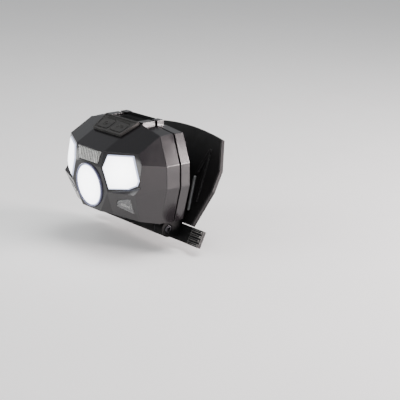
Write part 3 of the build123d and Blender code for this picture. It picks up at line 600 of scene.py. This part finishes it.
# ---- pieces made of what repeats ----
def screws(tree, node_name, body, direction, slot_name, material):
    """Replace a CAD node's screws, with sizes read from it. The direction runs from each tip to its head."""
    seats = []
    directions = []
    for points in islands(node_name):
        along = direction(points) if callable(direction) else direction
        heights = [point.dot(along) for point in points]
        low, high = min(heights), max(heights)
        tip = [point for point in points if point.dot(along) < low + 0.05 * MM]
        axis_point = sum(tip, Vector()) / len(tip)
        shank = max((point - axis_point).cross(along).length for point in tip)
        head = [point for point in points if (point - axis_point).cross(along).length > 1.2 * shank]
        head_radius = max((point - axis_point).cross(along).length for point in head)
        head_low = min(point.dot(along) for point in head)
        seats.append(axis_point + along * (head_low - low))
        directions.append(along)
    pitch = 0.45 * MM
    sizes = {"Shank radius": shank, "Shank length": head_low - low, "Head radius": head_radius,
             "Head height": high - head_low, "Thread pitch": pitch,
             "Number of threads": int((head_low - low) / pitch) - 2, "Material": material}
    return made_by(tree, node_name + "_turned", points_mesh(node_name, seats, directions), sizes, body,
                   slot_name, node_name)


def springs(tree, material):
    """Replace the release springs, standing along the mount's lean between the ends of the CAD ones."""
    downhill = OUTWARD.cross(ACROSS).normalized()
    uphill = downhill if downhill.z > 0 else -downhill
    seats = []
    for points in islands("release_springs"):
        heights = [point.dot(uphill) for point in points]
        middle = sum(points, Vector()) / len(points)
        widths = [point.x for point in points]
        wire = 0.28 * MM
        length = max(heights) - min(heights) - 2 * wire
        seats.append(middle + uphill * (min(heights) + wire - middle.dot(uphill)))
    sizes = {"Coil radius": (max(widths) - min(widths)) / 2 - wire, "Wire radius": wire, "Length": length,
             "Number of turns": 6, "Material": material}
    mesh = points_mesh("release_springs", seats, [uphill] * len(seats))
    wound = made_by(tree, "release_springs_wound", mesh, sizes, "mount", "steel", "release_springs")
    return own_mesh(wound)


def window_bars(tree, node_name, material):
    """Fine prism bars standing proud on a window, inside its outline."""
    centre, facing, corners = flat_side(node_name)
    across = facing.cross(UP).normalized()
    width = min(abs((corner - centre).dot(across)) for corner in corners) * 1.3
    tall = min(abs((corner - centre).dot(facing.cross(across))) for corner in corners) * 1.5
    spacing = 0.7 * MM
    sizes = {"Spacing": spacing, "Bar width": 0.5 * MM, "Bar height": 0.5, "Bar length": tall,
             "Number of bars": max(3, int(2 * width / spacing)), "Material": material}
    mesh = points_mesh(node_name, [centre], [facing])
    return made_by(tree, node_name + "_bars", mesh, sizes, "head", "frosted")


def reflector(tree, material):
    """Replace the spot's reflector with a faceted dish of the same rim, depth and direction."""
    lens_centre, facing, _ = flat_side("spot_lens")
    points = [point for group in islands("spot_reflector") for point in group]
    heights = [(point - lens_centre).dot(facing) for point in points]
    rim = max((point - lens_centre).cross(facing).length for point in points)
    seat = lens_centre + facing * max(heights)
    sizes = {"Rim radius": rim - 1.8 * MM, "Neck radius": 3.0 * MM, "Depth": max(heights) - min(heights),
             "Wall": 0.5 * MM, "Number of facets": 32, "Number of rows": 9, "Material": material}
    return made_by(tree, "spot_reflector_dish", points_mesh("spot_reflector", [seat], [facing]), sizes,
                   "head", "reflector", "spot_reflector")


# ---- dressing the CAD nodes ----
def dress(material, *names):
    for name in names:
        for place in frame["nodes"][name].material_slots:
            place.link = "OBJECT"
            place.material = material


def both(name):
    return [name + "_left", name + "_right"]


def dress_all():
    dress(shell_nylon(), "front_shell", "rear_shell")
    dress(mount_nylon(), "charge_flap", "hinge_lug", "yoke", "shroud_foot", "battery_tray")
    dress(grip_nylon(), "release_slider")
    dress(shield_nylon(), "shield_plate")
    dress(silicone(), "keypad", "light_button", "sensor_button", "shell_gasket")
    dress(washer_rubber(), "friction_washers")
    dress(clear_ring(), "spot_ring")
    dress(lit_lens("lit spot polycarbonate", "spot_lens", 6.0), "spot_lens")
    for name in both("flood_lens"):
        dress(lit_lens("lit flood polycarbonate " + name.split("_")[-1], name, 5.0), name)
    dress(guard_steel(), "guard_bars")
    dress(pin_steel(), "flap_pin", "charge_port")
    dress(tray_white(), *both("flood_tray"))
    dress(emitter_board(), "spot_led", "signal_board", *both("flood_board"), *both("side_led"))
    dress(circuit_board(), "driver_board", "switch_board")
    dress(machined_aluminium(), "heatsink")
    dress(cell_sleeve(), "battery_cell")


def away_from_middle(points):
    return ACROSS if points[0].x > 0 else -ACROSS


def add_pieces():
    # The last two colours of each pane are painted glints and a painted edge highlight.
    dress(prism_pane("prismatic polycarbonate", 1.4, "#3c3d3e", "#cfd0cb", "#e4e5e0"), "signal_window")
    pane = prism_pane("fine prismatic polycarbonate", 0.8, "#232426", "#6d6f70", "#c9cac8")
    dress(pane, *both("side_window"))
    bars = bar_tree()
    for name in both("side_window"):
        window_bars(bars, name, pane)
    screw = screw_tree()
    bright = pin_steel()
    dark = black_steel()
    screws(screw, "shell_screws", "head", Vector((0, 1, 0)), "black_steel", dark)
    screws(screw, "lug_screws", "head", UP, "black_steel", dark)
    screws(screw, "yoke_screws", "mount", -OUTWARD, "black_steel", dark)
    screws(screw, "foot_screws", "mount", OUTWARD, "steel", bright)
    screws(screw, "hinge_screws", "head", away_from_middle, "black_steel", dark)
    springs(coil_tree(), bright)
    reflector(dish_tree(), mirror_coat())


# ---- stage, light and camera ----
def stage_floor():
    """A broad pale floor just below the part."""
    low, high = cad_box
    size = 12 * (high - low).length
    mesh = bpy.data.meshes.new("floor")
    height = low.z - 3 * MM
    corners = [(-size, -size, height), (size, -size, height), (size, size, height), (-size, size, height)]
    mesh.from_pydata(corners, [], [(0, 1, 2, 3)])
    floor = bpy.data.objects.new("floor", mesh)
    bpy.context.scene.collection.objects.link(floor)
    mesh.materials.append(studio_floor())


def softbox(name, direction, distance, size, watts, warmth="#ffffff"):
    """A square soft light that looks back at the head from a direction."""
    low, high = cad_box
    light = bpy.data.lights.new(name, "AREA")
    light.shape = "SQUARE"
    light.size = size
    light.energy = watts
    light.color = linear(warmth)[:3]
    lamp = bpy.data.objects.new(name, light)
    bpy.context.scene.collection.objects.link(lamp)
    away = Vector(direction).normalized()
    lamp.location = (low + high) / 2 + away * distance
    lamp.rotation_mode = "QUATERNION"
    lamp.rotation_quaternion = away.to_track_quat("Z", "Y")


def spill(node_name):
    """The flood's light thrown back on the facets round it by the air and the lens's edge."""
    centre, facing, _ = flat_side(node_name)
    light = bpy.data.lights.new(node_name + " spill", "POINT")
    light.energy = 0.008
    light.shadow_soft_size = 6 * MM
    lamp = bpy.data.objects.new(node_name + " spill", light)
    bpy.context.scene.collection.objects.link(lamp)
    lamp.location = centre + facing * 9 * MM
    lamp.visible_camera = False


def studio():
    softbox("rim from behind the wearer's left", (0.78, 0.6, 0.05), 0.6, 0.24, 19.0, "#fff2f2")
    softbox("top", (0.2, 0.3, 1.0), 0.7, 0.4, 4.0)
    softbox("front fill", (-0.5, -1.0, 0.6), 0.9, 0.5, 3.0)
    for name in both("flood_lens"):
        spill(name)
    world = bpy.data.worlds.new("studio")
    bpy.context.scene.world = world
    world.use_nodes = True
    sky = world.node_tree.nodes["Background"]
    sky.inputs["Color"].default_value = linear("#dfe1e4")
    sky.inputs["Strength"].default_value = 0.55


AZIMUTH = math.radians(51.56)
ELEVATION = math.radians(16.19)
HINGE_TO_SEAM = Vector((0, 0.8, 27.405)) * MM      # from the hinge's axis to the middle of the head's seam
AIM_RIGHT = 31.04 * MM                             # how far to the right of the seam the camera looks
AIM_BELOW = 17.86 * MM
AIM_DISTANCE = 560 * MM


def camera():
    """Look down on the lamp from its front left, from about arm's length."""
    right = Vector((math.cos(AZIMUTH), math.sin(AZIMUTH), 0))
    back = Vector((math.sin(AZIMUTH) * math.cos(ELEVATION), -math.cos(AZIMUTH) * math.cos(ELEVATION),
                   math.sin(ELEVATION)))
    above = back.cross(right)
    seam_middle = Vector(joint_named("head_tilt")["pos_m"]) + HINGE_TO_SEAM
    lens = bpy.data.cameras.new("camera")
    lens.sensor_width = 36
    lens.lens = 100.8
    lens.clip_start = 0.01
    eye = bpy.data.objects.new("camera", lens)
    bpy.context.scene.collection.objects.link(eye)
    eye.location = seam_middle + right * AIM_RIGHT - above * AIM_BELOW + back * AIM_DISTANCE
    eye.rotation_mode = "QUATERNION"
    eye.rotation_quaternion = Matrix((right, above, back)).transposed().to_quaternion()
    bpy.context.scene.camera = eye


dress_all()
add_pieces()
stage_floor()
studio()
camera()
